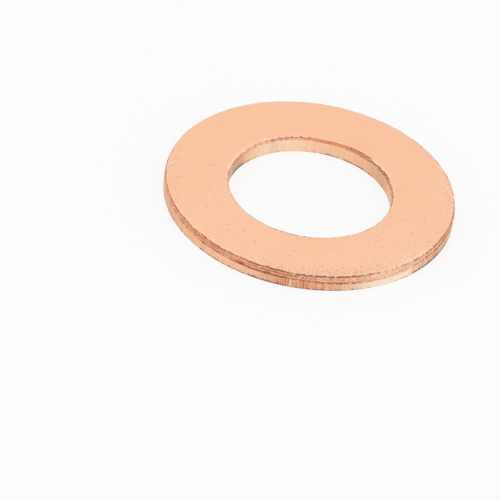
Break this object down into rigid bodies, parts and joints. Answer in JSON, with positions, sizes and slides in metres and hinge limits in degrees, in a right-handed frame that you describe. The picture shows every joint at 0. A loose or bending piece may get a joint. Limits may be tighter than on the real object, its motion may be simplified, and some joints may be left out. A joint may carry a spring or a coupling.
{
  "type": "crush washer",
  "caption": "Flat ring washer punched from soft copper sheet, with sheared and torn cut edges; seals a bolt head or union against a flat face.",
  "frame": {"origin": "centre of the bore, on the plane of the lower face", "axes": "+Z along the washer's axis, from the die-roll face up to the burr face; X and Y are free, because the washer is round"},
  "size_m": [0.025, 0.025, 0.0015],
  "materials": {
    "copper": "satin"
  },
  "bodies": {
    "root": {"washer": "copper"}
  },
  "joints": []
}
